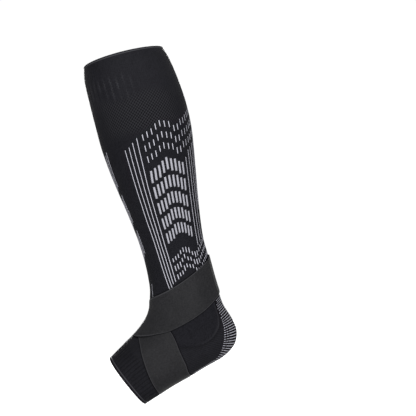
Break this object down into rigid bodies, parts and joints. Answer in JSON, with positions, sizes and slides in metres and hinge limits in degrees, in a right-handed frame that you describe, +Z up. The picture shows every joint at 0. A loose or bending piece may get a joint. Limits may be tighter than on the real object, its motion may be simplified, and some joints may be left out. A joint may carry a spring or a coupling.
{
  "type": "compression sock",
  "caption": "Open-toe knitted compression sock in its worn form, with a doubled top band, a rolled toe rim and an elastic strap wound round foot and ankle.",
  "frame": {"origin": "middle of the top opening, where the leg goes in", "axes": "+Z up the leg, -X to the toes, -Y to the outer side of a left leg"},
  "size_m": [0.1771, 0.112, 0.4221],
  "materials": {
    "knit": "matt knit",
    "elastic": "matt woven elastic",
    "hook_tape": "matt woven tape"
  },
  "bodies": {
    "root": {"top_welt": "knit", "leg_sleeve": "knit", "foot_sleeve": "knit", "toe_welt": "knit", "wrap_strap": "elastic", "strap_tab": "hook_tape"}
  },
  "joints": []
}
